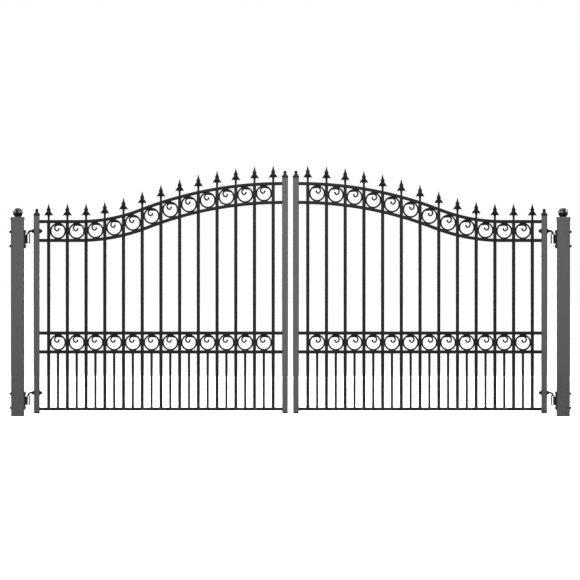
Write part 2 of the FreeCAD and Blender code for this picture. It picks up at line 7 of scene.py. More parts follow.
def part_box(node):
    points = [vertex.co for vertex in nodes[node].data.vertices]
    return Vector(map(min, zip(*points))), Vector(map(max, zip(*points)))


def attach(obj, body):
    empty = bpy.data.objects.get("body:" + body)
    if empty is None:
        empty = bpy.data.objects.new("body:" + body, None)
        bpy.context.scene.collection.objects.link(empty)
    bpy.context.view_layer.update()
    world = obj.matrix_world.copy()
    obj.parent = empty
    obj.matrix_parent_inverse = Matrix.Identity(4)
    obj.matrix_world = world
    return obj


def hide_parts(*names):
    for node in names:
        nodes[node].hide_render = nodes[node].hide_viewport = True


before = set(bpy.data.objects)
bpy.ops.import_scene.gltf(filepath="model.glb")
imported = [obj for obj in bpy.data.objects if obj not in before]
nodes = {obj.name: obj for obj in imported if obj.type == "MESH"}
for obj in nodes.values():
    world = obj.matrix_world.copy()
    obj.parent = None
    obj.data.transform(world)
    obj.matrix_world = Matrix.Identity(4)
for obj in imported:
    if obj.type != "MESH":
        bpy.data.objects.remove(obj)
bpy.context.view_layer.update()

# ------------------------------------------------------------------------------------ studio
# A plain pale floor that runs out of sight, a pale surround, large soft lamps in front, behind,
# at both sides and above, and one small key lamp.  An overhead lamp lights the floor alone.  The
# camera stands far back, square on to the gate and about half way up it.
VIEW_WIDTH = 4.433
VIEW_HEIGHT = 0.965
CAMERA_BACK = 30.0
CAMERA_ASIDE = -0.0037
FLOOR_RADIUS = 220.0
WHITE = (1.0, 1.0, 1.0, 1.0)
SEEN_LIGHT, CAST_LIGHT = 1.0, 0.09       # the surround as it looks, and as it lights the gate
OVERHEAD_POWER, OVERHEAD_SPREAD = 3.6, 50
OVERHEAD_LEAN = (-8, -6)                 # degrees about X and Y
# place, aim, width, height, power
LAMPS = {
    "front_lamp": ((0.0, -14.0, 1.2), (0, 0, 1), 9.0, 4.0, 520),
    "high_front_lamp": ((0.0, -12.0, 7.6), (0, 0, 1), 8.0, 3.0, 260),
    "key_lamp": ((0.0, -2.6, 3.9), (0, 0, 1.4), 1.6, 1.0, 105),
    "top_lamp": ((0.0, 0.0, 9.0), (0, 0, 1), 8.0, 4.0, 420),
    "back_lamp": ((0.0, 14.0, 1.2), (0, 0, 1), 9.0, 4.0, 520),
    "high_back_lamp": ((0.0, 12.0, 7.6), (0, 0, 1), 8.0, 3.0, 260),
    "left_side_lamp": ((-10.0, 0.0, 7.0), (0, 0, 1), 8.0, 5.0, 1100),
    "right_side_lamp": ((10.0, 0.0, 7.0), (0, 0, 1), 8.0, 5.0, 1100),
}


def linear(code):
    """An sRGB hex colour as linear RGBA."""
    channels = [int(code[i:i + 2], 16) / 255 for i in (1, 3, 5)]
    return (*[c / 12.92 if c <= 0.04045 else ((c + 0.055) / 1.055) ** 2.4 for c in channels], 1.0)


def add_node(tree, kind, inputs=None, **settings):
    """Adds one node.  settings are its own; inputs are values, sockets, or nodes to link from."""
    made = tree.nodes.new(kind)
    for name, value in settings.items():
        setattr(made, name, value)
    for socket, value in (inputs or {}).items():
        if isinstance(value, bpy.types.Node):
            value = value.outputs[2 if value.bl_idname == "ShaderNodeMix" else 0]
        if isinstance(value, bpy.types.NodeSocket):
            tree.links.new(value, made.inputs[socket])
        else:
            made.inputs[socket].default_value = value
    return made


def soft_lamp(name, place, aim, width, height, power):
    """A rectangular lamp that the camera doesn't see, turned to face its aim."""
    data = bpy.data.lights.new(name, "AREA")
    data.shape = "RECTANGLE"
    data.size, data.size_y, data.energy = width, height, power
    lamp = bpy.data.objects.new(name, data)
    lamp.location = place
    lamp.rotation_euler = (Vector(aim) - Vector(place)).to_track_quat("-Z", "Y").to_euler()
    lamp.visible_camera = False
    bpy.context.scene.collection.objects.link(lamp)


for name, settings in LAMPS.items():
    soft_lamp(name, *settings)
overhead = bpy.data.lights.new("overhead_lamp", "SUN")
overhead.energy, overhead.angle = OVERHEAD_POWER, radians(OVERHEAD_SPREAD)
overhead_lamp = bpy.data.objects.new("overhead_lamp", overhead)
overhead_lamp.rotation_euler = (*map(radians, OVERHEAD_LEAN), 0)
bpy.context.scene.collection.objects.link(overhead_lamp)

surround = bpy.data.worlds.new("pale_surround")
surround.use_nodes = True
sky = surround.node_tree
sky.nodes.clear()
seen = add_node(sky, "ShaderNodeBackground", {"Color": WHITE, "Strength": SEEN_LIGHT})
cast = add_node(sky, "ShaderNodeBackground", {"Color": WHITE, "Strength": CAST_LIGHT})
ray = add_node(sky, "ShaderNodeLightPath")
either = add_node(sky, "ShaderNodeMixShader", {0: ray.outputs["Is Camera Ray"], 1: cast, 2: seen})
add_node(sky, "ShaderNodeOutputWorld", {"Surface": either})
bpy.context.scene.world = surround

bpy.ops.mesh.primitive_circle_add(vertices=96, radius=FLOOR_RADIUS, fill_type="NGON")
ground = bpy.context.object
ground.name = "studio_floor"
paper = bpy.data.materials.new("pale_matt_paper_floor")
paper.use_nodes = True
paper_shader = paper.node_tree.nodes["Principled BSDF"]
paper_shader.inputs["Base Color"].default_value = linear("#f4f4f3")
paper_shader.inputs["Roughness"].default_value = 0.95
paper_shader.inputs["Specular IOR Level"].default_value = 0.0
ground.data.materials.append(paper)
ground.visible_glossy = ground.visible_diffuse = False      # it lights nothing from below
# the floor has the overhead lamp to itself, so that it is near white and the ironwork stays dark
floor_only = bpy.data.collections.new("floor_only")
floor_only.objects.link(ground)
overhead_lamp.light_linking.receiver_collection = floor_only

lens = bpy.data.cameras.new("square_on")
lens.sensor_width = 36.0
lens.lens = lens.sensor_width * CAMERA_BACK / VIEW_WIDTH
lens.clip_end = 500.0
view = bpy.data.objects.new("square_on", lens)
view.location = (CAMERA_ASIDE, -CAMERA_BACK, VIEW_HEIGHT)
view.rotation_euler = (radians(90), 0, 0)
bpy.context.scene.collection.objects.link(view)
bpy.context.scene.camera = view
bpy.context.scene.view_settings.view_transform = "Standard"

# ------------------------------------------------------------------------- posts and post caps
# The posts are square steel tube with drawn corners.  Each is closed by a square cap with an
# eased top edge.  Both are shot-blasted, primed and powder coated black.  Their coat is
# painted a satin dark grey, which is painted sheen.
HANDS = {"left": -1, "right": 1}     # which way each half of the gate lies along X
PEEL_MM = 3.0           # orange peel of fused powder; really 1 to 2 mm, drawn coarser to show
PATCH_MM = 420.0        # slow change of film thickness along a tube
STREAK_MM = 16.0        # width of dried rain streaks, which run down the work
STREAK_LONG_MM = 450.0
STREAK_SHARE, STREAK_DULL = 0.12, 0.15   # how far a streak greys the coat, and dulls it
SPLASH_TOP = 0.34       # height that rain splashes dust up to, in metres
DUST_MM = 26.0
DUST_SHARE = 0.45       # how far dust hides the coat where it lies thickest


def bare_material(name):
    """A new material with only its shader and output, and its object coordinates."""
    material = bpy.data.materials.new(name)
    material.use_nodes = True
    tree = material.node_tree
    place = add_node(tree, "ShaderNodeTexCoord").outputs["Object"]
    return material, tree, tree.nodes["Principled BSDF"], place


def coated_surface(name, dark, light, rough, shine, grain_mm, grain_deep_mm):
    """A dark coat with slow patches, faint rain streaks, and dust splashed up from the ground."""
    material, tree, shader, place = bare_material(name)
    patches = add_node(tree, "ShaderNodeTexNoise",
                       {"Vector": place, "Scale": 1000 / PATCH_MM, "Detail": 3.0})
    patched = add_node(tree, "ShaderNodeMapRange",
                       {"Value": patches, "From Min": 0.32, "From Max": 0.68})
    coat = add_node(tree, "ShaderNodeMix", {0: patched, 6: linear(dark), 7: linear(light)},
                    data_type="RGBA")
    drawn_down = add_node(tree, "ShaderNodeMapping",
                          {"Vector": place, "Scale": (1.0, 1.0, STREAK_MM / STREAK_LONG_MM)})
    trickles = add_node(tree, "ShaderNodeTexNoise",
                        {"Vector": drawn_down, "Scale": 1000 / STREAK_MM, "Detail": 3.0})
    streaks = add_node(tree, "ShaderNodeMapRange",
                       {"Value": trickles, "From Min": 0.52, "From Max": 0.80})
    streak_share = add_node(tree, "ShaderNodeMath", {0: streaks, 1: STREAK_SHARE},
                            operation="MULTIPLY")
    streaked = add_node(tree, "ShaderNodeMix", {0: streak_share, 6: coat, 7: linear("#5d5c59")},
                        data_type="RGBA")
    height = add_node(tree, "ShaderNodeSeparateXYZ", {"Vector": place}).outputs["Z"]
    low_down = add_node(tree, "ShaderNodeMapRange",
                        {"Value": height, "From Min": SPLASH_TOP, "From Max": 0.0,
                         "To Max": DUST_SHARE})
    spots = add_node(tree, "ShaderNodeTexNoise",
                     {"Vector": place, "Scale": 1000 / DUST_MM, "Detail": 6.0})
    splashes = add_node(tree, "ShaderNodeMapRange",
                        {"Value": spots, "From Min": 0.42, "From Max": 0.75})
    dust = add_node(tree, "ShaderNodeMath", {0: low_down, 1: splashes}, operation="MULTIPLY")
    dusted = add_node(tree, "ShaderNodeMix", {0: dust, 6: streaked, 7: linear("#6f685c")},
                      data_type="RGBA")
    dulled = add_node(tree, "ShaderNodeMath", {0: streaks, 1: STREAK_DULL, 2: dust},
                      operation="MULTIPLY_ADD")
    roughness = add_node(tree, "ShaderNodeMapRange",
                         {"Value": dulled, "From Max": 0.8, "To Min": rough, "To Max": rough + 0.3})
    grain = add_node(tree, "ShaderNodeTexNoise", {"Vector": place, "Scale": 1000 / grain_mm})
    relief = add_node(tree, "ShaderNodeBump",
                      {"Height": grain, "Strength": 0.6, "Distance": grain_deep_mm / 1000})
    tree.links.new(dusted.outputs[2], shader.inputs["Base Color"])
    tree.links.new(roughness.outputs[0], shader.inputs["Roughness"])
    tree.links.new(relief.outputs[0], shader.inputs["Normal"])
    shader.inputs["IOR"].default_value = 1.5
    shader.inputs["Specular IOR Level"].default_value = shine
    return material


def paint(material, *names):
    """Gives CAD nodes of both halves a finish in place of their plain one."""
    for hand in HANDS:
        for name in names:
            mesh = nodes[hand + "_" + name].data
            mesh.materials.clear()
            mesh.materials.append(material)


# satin black polyester powder with painted sheen: painted a soft dark grey, lighter than the black
# coat, to stand for a broad sheen, with a faint orange peel
painted_sheen_coat = coated_surface("black_powder_coat_painted_sheen", "#383939", "#404141", 0.32, 0.5,
                               PEEL_MM, 0.10)
paint(painted_sheen_coat, "post", "post_cap")

# ---------------------------------------------------------------------------------- post balls
# Each ball is cast iron on a short collar, welded to the middle of its cap.  Its two-part
# mould leaves a fine raised line round the middle.  It is coated gloss black.
SAND_MM = 2.2           # grain of the sand mould; really under 1 mm, drawn coarser to show
BALL_R = 0.038
COLLAR_R = 0.026
SEAM_WIDE, SEAM_PROUD = 0.0016, 0.0006
BALL_STEPS = 26
BALL_LOW_ANGLE = -44         # where the ball leaves its collar, degrees below its middle
# the weld round the collar's foot: how far out beyond the collar, then height above the cap
COLLAR_WELD = ((0.0025, -0.002), (0.0025, 0.0006), (0.0008, 0.0018), (0.0, 0.0035))
SPECK = 0.001                # a plane this wide is cut down to the first point of a profile


def start(add, **settings):
    """Adds a primitive with nothing else selected."""
    bpy.ops.object.select_all(action="DESELECT")
    add(**settings)
    return bpy.context.object


def pick(piece, kind, wanted):
    """Leaves piece in edit mode with the FACE, EDGE or VERT parts selected that wanted accepts."""
    bpy.ops.object.mode_set(mode="EDIT")
    bpy.ops.mesh.select_mode(type=kind)
    bpy.ops.mesh.select_all(action="DESELECT")
    bpy.ops.object.mode_set(mode="OBJECT")
    points = piece.data.vertices
    for face in piece.data.polygons if kind == "FACE" else ():
        face.select = wanted(face.center, face.normal)
    for edge in piece.data.edges if kind == "EDGE" else ():
        a, b = (points[i].co for i in edge.vertices)
        edge.select = wanted((a + b) / 2, (b - a).normalized())
    for point in points if kind == "VERT" else ():
        point.select = wanted(point.co, point.normal)
    bpy.ops.object.mode_set(mode="EDIT")


def close_up(piece, smooth_angle=35):
    """Merges doubled points, turns every face outwards, and smooths all but the sharp edges."""
    bpy.ops.object.mode_set(mode="EDIT")
    bpy.ops.mesh.select_mode(type="VERT")
    bpy.ops.mesh.select_all(action="SELECT")
    bpy.ops.mesh.remove_doubles(threshold=1e-6)
    bpy.ops.mesh.normals_make_consistent(inside=False)
    bpy.ops.object.mode_set(mode="OBJECT")
    bpy.ops.object.transform_apply(location=True, rotation=True, scale=True)
    bpy.ops.object.shade_smooth_by_angle(angle=radians(smooth_angle))


def turned(profile, steps=48, axis=(0, 0, 1), foot=(0, 0, 0), out=(1, 0, 0)):
    """A lathe-turned piece: its profile is (radius, height) pairs from the foot, along the axis."""
    axis, foot, out = Vector(axis), Vector(foot), Vector(out)
    places = [foot + axis * height + out * radius for radius, height in profile]
    piece = start(bpy.ops.mesh.primitive_plane_add, size=SPECK)
    pick(piece, "VERT", lambda place, normal: place.x + place.y > -SPECK / 2)
    bpy.ops.mesh.delete(type="VERT")
    bpy.ops.mesh.select_all(action="SELECT")
    bpy.ops.transform.translate(value=places[0] + Vector((SPECK / 2, SPECK / 2, 0)))
    for a, b in zip(places, places[1:]):
        bpy.ops.mesh.extrude_region_move(TRANSFORM_OT_translate={"value": b - a})
    bpy.ops.mesh.select_all(action="SELECT")
    bpy.ops.mesh.spin(steps=steps, angle=2 * pi, center=foot, axis=axis)
    close_up(piece)
    return piece


def row_of(name, pattern, matrices):
    """Copies a pattern piece to every place, each copy with its own mesh, and joins the copies."""
    bpy.ops.object.select_all(action="DESELECT")
    for matrix in matrices:
        mesh = pattern.data.copy()
        mesh.transform(matrix)
        if matrix.determinant() < 0:
            mesh.flip_normals()
        copy = bpy.data.objects.new(name, mesh)
        bpy.context.scene.collection.objects.link(copy)
        copy.select_set(True)
        bpy.context.view_layer.objects.active = copy
    bpy.ops.object.join()
    joined = bpy.context.object
    joined.name = joined.data.name = name
    return joined


def join_up(name, parts):
    """Joins loose pieces into the first of them and names the result."""
    bpy.ops.object.select_all(action="DESELECT")
    for part in parts:
        part.select_set(True)
    bpy.context.view_layer.objects.active = parts[0]
    bpy.ops.object.join()
    parts[0].name = parts[0].data.name = name
    return parts[0]


def finish_piece(piece, material, body, slot, *replaced):
    """Gives a new piece its finish and body, and hides the CAD nodes it stands for.  slot is not
    used.
    """
    piece.data.materials.clear()
    piece.data.materials.append(material)
    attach(piece, body)
    if replaced:
        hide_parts(*replaced)


def ball_profile(radius, centre, low_angle, steps, seam=0.0):
    """(radius, height) pairs up the outside of a ball, with a raised seam round its middle."""
    pairs = []
    for i in range(steps + 1):
        angle = radians(low_angle + (90 - low_angle) * i / steps)
        pairs.append((radius * cos(angle) if i < steps else 0.0, centre + radius * sin(angle)))
    if seam:
        pairs = [p for p in pairs if abs(p[1] - centre) > seam]
        for up, out in ((-seam, 0.0), (-seam / 2, SEAM_PROUD), (seam / 2, SEAM_PROUD), (seam, 0.0)):
            pairs.append((radius + out, centre + up))
        pairs.sort(key=lambda p: p[1])
    return pairs


def post_ball(hand):
    low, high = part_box(hand + "_post_ball")
    cap_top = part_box(hand + "_post_cap")[1].z
    middle = (low + high) / 2
    centre = high.z - BALL_R - cap_top
    collar = [(0.0, COLLAR_WELD[0][1])] + [(COLLAR_R + out, up) for out, up in COLLAR_WELD]
    round_ball = ball_profile(BALL_R, centre, BALL_LOW_ANGLE, BALL_STEPS, SEAM_WIDE)
    ball = turned(collar + round_ball, 64, foot=(middle.x, middle.y, cap_top))
    ball.name = hand + "_cast_ball"
    finish_piece(ball, ball_coat, "posts", "black_cast_iron", hand + "_post_ball")


# gloss black coat on a smooth casting: black, with one crisp light high on each ball
ball_coat = coated_surface("gloss_black_coated_cast_iron", "#060607", "#0b0b0c", 0.16, 0.5,
                           SAND_MM, 0.03)
for hand in HANDS:
    post_ball(hand)

# -------------------------------------------------------------------- hinge plates and barrels
# Each plate is flat steel, bolted to the post, with a short web welded on that carries the
# barrel.  The barrels are turned from steel bar with chamfered ends, and zinc plated so that
# the pins run freely.
PIN_FROM_SHOULDER_EDGE = 0.015
BARREL_R, BARREL_BORE = 0.017, 0.0081
BARREL_CHAMFER, BORE_CHAMFER = 0.0016, 0.0008
WEB_HALF, WEB_EASE = 0.007, 0.0012
WEB_BITE = 0.003             # how far the web runs into the barrel's wall
ROD_R = 0.008


def barrel_heights(hand):
    """Foot and top of the lower and the upper barrel."""
    points = sorted(v.co.z for v in nodes[hand + "_hinge_barrels"].data.vertices)
    middle = (points[0] + points[-1]) / 2
    low, high = [z for z in points if z < middle], [z for z in points if z > middle]
    return (low[0], low[-1]), (high[0], high[-1])


# satin black polyester powder on plates, rails and bars: near black, lit only along the edges
black_coat = coated_surface("satin_black_powder_coat", "#090a0b", "#0e0f10", 0.48, 0.22,
                            PEEL_MM, 0.08)
paint(black_coat, "upper_hinge_plate", "lower_hinge_plate")

# bright zinc on turned steel: a pale metal, softly clouded, with rings left by the lathe tool
TOOL_MARK_MM = 3.14     # really 0.3 mm, drawn coarser to show
WAVE_MM = 314           # how far apart the bands of a wave texture are at a scale of 1
ZINC_CLOUD_MM = 14.0
zinc, zinc_tree, zinc_shader, zinc_place = bare_material("bright_zinc_plated_steel")
zinc_noise = add_node(zinc_tree, "ShaderNodeTexNoise",
                      {"Vector": zinc_place, "Scale": 1000 / ZINC_CLOUD_MM, "Detail": 4.0})
clouds = add_node(zinc_tree, "ShaderNodeMapRange",
                  {"Value": zinc_noise, "From Min": 0.35, "From Max": 0.65})
zinc_colour = add_node(zinc_tree, "ShaderNodeMix",
                       {0: clouds, 6: linear("#d3d6d8"), 7: linear("#e6e7e7")}, data_type="RGBA")
zinc_rough = add_node(zinc_tree, "ShaderNodeMapRange",
                      {"Value": clouds, "To Min": 0.26, "To Max": 0.34})
tool_marks = add_node(zinc_tree, "ShaderNodeTexWave",
                      {"Vector": zinc_place, "Scale": WAVE_MM / TOOL_MARK_MM, "Distortion": 0.6},
                      bands_direction="Z")
zinc_relief = add_node(zinc_tree, "ShaderNodeBump",
                       {"Height": tool_marks.outputs["Fac"], "Strength": 0.25, "Distance": 0.0001})
zinc_tree.links.new(zinc_colour.outputs[2], zinc_shader.inputs["Base Color"])
zinc_tree.links.new(zinc_rough.outputs[0], zinc_shader.inputs["Roughness"])
zinc_tree.links.new(zinc_relief.outputs[0], zinc_shader.inputs["Normal"])
zinc_shader.inputs["Metallic"].default_value = 1.0

for hand, way in HANDS.items():
    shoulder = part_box(hand + "_upper_hinge_bolt")
    pin_x = (shoulder[0].x if way < 0 else shoulder[1].x) - way * PIN_FROM_SHOULDER_EDGE
    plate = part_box(hand + "_upper_hinge_plate")
    plate_face = plate[1].x if way < 0 else plate[0].x
    reach = abs(pin_x - plate_face) - BARREL_R + WEB_BITE
    barrels, webs = [], []
    for foot, top in barrel_heights(hand):
        tall = top - foot
        wall = [(BARREL_BORE, 0.0), (BARREL_R - BARREL_CHAMFER, 0.0), (BARREL_R, BARREL_CHAMFER),
                (BARREL_R, tall - BARREL_CHAMFER), (BARREL_R - BARREL_CHAMFER, tall),
                (BARREL_BORE + BORE_CHAMFER, tall), (BARREL_BORE, tall - BORE_CHAMFER),
                (BARREL_BORE, 0.0)]
        barrels.append(turned(wall, 56, foot=(pin_x, 0, foot)))
        web = start(bpy.ops.mesh.primitive_cube_add, size=1.0,
                    location=(plate_face - way * reach / 2, 0, (foot + top) / 2),
                    scale=(reach, 2 * WEB_HALF, tall - 2 * BARREL_CHAMFER))
        close_up(web)
        pick(web, "FACE", lambda place, normal: abs(normal.z) > 0.9)
        bpy.ops.mesh.bevel(offset=WEB_EASE, segments=2, affect="EDGES")
        bpy.ops.object.mode_set(mode="OBJECT")
        webs.append(web)
    finish_piece(join_up(hand + "_zinc_barrels", barrels), zinc, "posts", "zinc_plated_steel",
                 hand + "_hinge_barrels")
    finish_piece(join_up(hand + "_barrel_webs", webs), black_coat, "posts", "powder_coated_steel",
                 hand + "_hinge_barrels")

# ------------------------------------------------------------------ bolts and bent hinge bolts
# The hinge bolts are round steel rod, threaded at one end, bent hot at right angles, with a
# thrust collar shrunk on above the pin.  They, the plate bolts and all the nuts are blackened
# in hot oxide and oiled: smooth, with a trace of blue.
THREAD_PITCH = 0.002         # M16
THREAD_DEEP = 0.0011
THREADED = 0.078
BEND_R = 0.020
THREAD_LEAD, THREAD_RUN_OUT = 0.0018, 0.0014     # taper at the rod's tip, and after the thread
COLLAR_HIGH, SHOULDER_R, COLLAR_EASE = 0.0065, 0.015, 0.0016
THRUST_GAP = 0.0003          # between the collar and its barrel


def hinge_bolt(hand, way, level):
    low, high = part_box(hand + "_" + level + "_hinge_bolt")
    rod_z = high.z - ROD_R
    tip_x, edge_x = (high.x, low.x) if way < 0 else (low.x, high.x)
    pin_x = edge_x - way * PIN_FROM_SHOULDER_EDGE
    straight = abs(tip_x - pin_x) - BEND_R
    thread = [(0.0, 0.0), (ROD_R - THREAD_LEAD, 0.0)]
    turns = int(THREADED / THREAD_PITCH)
    for turn in range(1, turns + 1):
        thread.append((ROD_R, (turn - 0.5) * THREAD_PITCH))
        thread.append((ROD_R - THREAD_DEEP, turn * THREAD_PITCH))
    thread += [(ROD_R, THREADED + THREAD_RUN_OUT), (ROD_R, straight), (0.0, straight)]
    rod = turned(thread, 28, axis=(way, 0, 0), foot=(tip_x, 0, rod_z), out=(0, 0, 1))
    bend_x = tip_x + way * straight
    bend = start(bpy.ops.mesh.primitive_circle_add, vertices=28, radius=ROD_R, fill_type="NGON",
                 location=(bend_x, 0, rod_z), rotation=(0, pi / 2, 0))
    bpy.ops.object.transform_apply(location=True, rotation=True, scale=True)
    bpy.ops.object.mode_set(mode="EDIT")
    bpy.ops.mesh.select_all(action="SELECT")
    bpy.ops.mesh.spin(steps=14, angle=pi / 2, center=(bend_x, 0, rod_z - BEND_R), axis=(0, -way, 0))
    pin_down = (0, 0, low.z - rod_z + BEND_R)
    bpy.ops.mesh.extrude_region_move(TRANSFORM_OT_translate={"value": pin_down})
    close_up(bend, 50)
    barrel_top = barrel_heights(hand)[0 if level == "lower" else 1][1]
    ring = [(0.0, 0.0), (SHOULDER_R - COLLAR_EASE, 0.0), (SHOULDER_R, COLLAR_EASE),
            (SHOULDER_R, COLLAR_HIGH - COLLAR_EASE), (SHOULDER_R - COLLAR_EASE, COLLAR_HIGH),
            (0.0, COLLAR_HIGH)]
    collar = turned(ring, 40, foot=(pin_x, 0, barrel_top + THRUST_GAP))
    bolt = join_up(hand + "_" + level + "_threaded_hinge_bolt", [collar, rod, bend])
    finish_piece(bolt, black_oxide, hand + "_leaf", "blackened_fasteners",
                 hand + "_" + level + "_hinge_bolt")


# oiled black oxide: darker and glossier than paint, mottled where the oil has dried
MOTTLE_MM, SCALE_MM = 7.0, 2.5
black_oxide, oxide_tree, oxide_shader, oxide_place = bare_material("oiled_black_oxide_steel")
oil = add_node(oxide_tree, "ShaderNodeTexNoise",
               {"Vector": oxide_place, "Scale": 1000 / MOTTLE_MM, "Detail": 5.0})
mottle = add_node(oxide_tree, "ShaderNodeMapRange",
                  {"Value": oil, "From Min": 0.35, "From Max": 0.7})
oxide_colour = add_node(oxide_tree, "ShaderNodeMix",
                        {0: mottle, 6: linear("#111214"), 7: linear("#24262b")}, data_type="RGBA")
oxide_rough = add_node(oxide_tree, "ShaderNodeMapRange",
                       {"Value": mottle, "To Min": 0.28, "To Max": 0.46})
mill_scale = add_node(oxide_tree, "ShaderNodeTexNoise",
                      {"Vector": oxide_place, "Scale": 1000 / SCALE_MM, "Detail": 3.0})
oxide_relief = add_node(oxide_tree, "ShaderNodeBump",
                        {"Height": mill_scale, "Strength": 0.4, "Distance": 0.00015})
oxide_tree.links.new(oxide_colour.outputs[2], oxide_shader.inputs["Base Color"])
oxide_tree.links.new(oxide_rough.outputs[0], oxide_shader.inputs["Roughness"])
oxide_tree.links.new(oxide_relief.outputs[0], oxide_shader.inputs["Normal"])
oxide_shader.inputs["Metallic"].default_value = 0.55

paint(black_oxide, "plate_bolts", "plate_nuts", "hinge_bolt_nuts")
for hand, way in HANDS.items():
    for level in ("upper", "lower"):
        hinge_bolt(hand, way, level)

# ------------------------------------------------------------------------ leaf frames and bars
# The leaves are square steel tube with drawn corners, cut between the rails and welded.  The
# stiles have the posts' coat, black painted dark grey as painted sheen.  The rails, pickets and dog
# bars have a satin black coat without it.
paint(painted_sheen_coat, "hinge_stile", "meeting_stile")
paint(black_coat, "top_rail", "second_rail", "band_upper_rail", "band_lower_rail", "bottom_rail",
      "top_band_pickets", "main_pickets", "band_pickets", "lower_pickets", "dog_bars")

# ------------------------------------------------------------------------------------ scrolls
# Each scroll is an iron casting, coated satin black: a closed ring of flat section with eased
# edges, and a bar that turns in from it, tapers and ends in a ball.  It is tacked in its bay.
RING_R, RING_BAR = 0.0625, 0.013
RING_LET_IN = 0.0035         # how far the ring's round runs into the bars beside it
SCROLL_DEEP = 0.013
CURL_SHALLOWER = 0.0004      # the curl's faces lie just inside the ring's
BAR_EASE = 0.0016
CURL_BAR = 0.012
LEAD_R, CURL_R, CURL_END_R = 0.200, 0.022, 0.012
CURL_ASIDE = -0.0033
CURL_BITE = 0.0021           # how far the curl runs into the ring
CURL_CROWN = RING_R - RING_BAR - CURL_BAR / 2 + CURL_BITE
CURL_TURN, CURL_STOP = 255.0, 368.0
ISLAND_GAP = 0.020          # no two pieces of a row stand nearer than this along X
TAPER = 0.985                # narrowing at each step of the last turn
CURL_BALL_R = 0.0076


# satin black coat on sand-cast iron: deep black, its few lights broken up by the sand's grain
casting_coat = coated_surface("satin_black_coated_cast_iron", "#050506", "#09090a", 0.40, 0.16,
                              SAND_MM, 0.12)


def bar_section(width, deep, ease, place):
    """A flat bar's end face across X, with eased corners, standing at place in the XY plane."""
    section = start(bpy.ops.mesh.primitive_plane_add, size=1.0)
    bpy.ops.object.mode_set(mode="EDIT")
    bpy.ops.transform.resize(value=(width, deep, 1.0), center_override=(0, 0, 0))
    bpy.ops.mesh.bevel(offset=ease, segments=2, affect="VERTICES")
    bpy.ops.mesh.select_all(action="SELECT")
    bpy.ops.transform.translate(value=place)
    return section


def islands(node):
    """Lowest and highest corners of each piece in a row that stands along X, left to right."""
    points = sorted((v.co for v in nodes[node].data.vertices), key=lambda p: p.x)
    groups = [[points[0]]]
    for point in points[1:]:
        if point.x - groups[-1][-1].x > ISLAND_GAP:
            groups.append([])
        groups[-1].append(point)
    return [(Vector(map(min, *group)), Vector(map(max, *group))) for group in groups]


def scroll_ring():
    ring = bar_section(RING_BAR, SCROLL_DEEP, BAR_EASE, (RING_R - RING_BAR / 2, 0, 0))
    bpy.ops.mesh.delete(type="ONLY_FACE")
    bpy.ops.mesh.select_all(action="SELECT")
    bpy.ops.mesh.spin(steps=56, angle=2 * pi, center=(0, 0, 0), axis=(0, 1, 0))
    close_up(ring)
    return ring


def scroll_curl():
    """The bar's free end, swept from where it leaves the ring round to its ball."""
    lead_z = CURL_CROWN - LEAD_R
    reach = (CURL_ASIDE ** 2 + lead_z ** 2) ** 0.5
    middle_r = RING_R - RING_BAR / 2
    along = (reach ** 2 + LEAD_R ** 2 - middle_r ** 2) / (2 * reach)
    begin = pi / 2 + atan2(CURL_ASIDE, -lead_z) - acos(along / LEAD_R)
    curl = bar_section(CURL_BAR, SCROLL_DEEP - CURL_SHALLOWER, BAR_EASE, (LEAD_R, 0, 0))
    bpy.ops.transform.rotate(value=begin, orient_axis="Y", center_override=(0, 0, 0))
    bpy.ops.transform.translate(value=(CURL_ASIDE, 0, lead_z))
    curl_z = CURL_CROWN - CURL_R
    turn = radians(CURL_TURN)
    inward = CURL_R - CURL_END_R
    end = (CURL_ASIDE + inward * cos(turn), curl_z + inward * sin(turn))
    # the centre of each sweep, its angle, its steps, and its taper at each step
    sweeps = ((CURL_ASIDE, lead_z, pi / 2 - begin, 6, 1.0),
              (CURL_ASIDE, curl_z, turn - pi / 2, 18, 1.0),
              (*end, radians(CURL_STOP) - turn, 16, TAPER))
    for x, z, angle, steps, taper in sweeps:
        for _ in range(steps):
            bpy.ops.mesh.spin(steps=1, angle=angle / steps, center=(x, 0, z), axis=(0, 1, 0))
            if taper < 1.0:
                bpy.ops.transform.resize(value=(taper, 1.0, taper))
    close_up(curl)
    stop = radians(CURL_STOP)
    return curl, Vector((end[0] + CURL_END_R * cos(stop), 0, end[1] + CURL_END_R * sin(stop)))


def scroll():
    ring = scroll_ring()
    curl, ball_place = scroll_curl()
    ball = start(bpy.ops.mesh.primitive_uv_sphere_add, segments=20, ring_count=12,
                 radius=CURL_BALL_R, location=ball_place)
    close_up(ball)
    return join_up("scroll", [ring, curl, ball])


scroll_pattern = scroll()
for hand, way in HANDS.items():
    for row in ("top_scrolls", "band_scrolls"):
        mirror = Matrix.Scale(-way, 4, (1, 0, 0))
        middles = [(low + high) / 2 for low, high in islands(hand + "_" + row)]
        scrolls = row_of(hand + "_cast_" + row, scroll_pattern,
                         [Matrix.Translation(middle) @ mirror for middle in middles])
        finish_piece(scrolls, casting_coat, hand + "_leaf", "black_cast_iron", hand + "_" + row)
bpy.data.objects.remove(scroll_pattern)

# ------------------------------------------------------------------------------------- spears
# The spears are cast iron, coated satin black: a square stem, two barbs swept down, a round
# boss on each face, and a blade with a ridge down its middle.  Each is welded to the top rail
# over a picket.
STEM_W, STEM_D = 0.0165, 0.0155
SPEAR_HIGH = 0.124
# height above the rail, then width and depth of the body there
SPEAR_BODY = ((0.003, 1.0, 1.0), (0.034, 1.0, 1.0), (0.044, 1.12, 1.0), (0.058, 1.42, 1.0),
              (0.066, 1.50, 0.96), (0.071, 1.78, 0.94), (0.077, 2.10, 0.92), (0.083, 1.86, 0.84),
              (0.092, 1.10, 0.70), (0.106, 0.70, 0.48), (0.119, 0.34, 0.28), (0.1245, 0.16, 0.14))
STEM_CORNER = 0.003
BARB_LOW, BARB_HIGH = 0.036, 0.066       # the faces of the hub that the barbs grow from
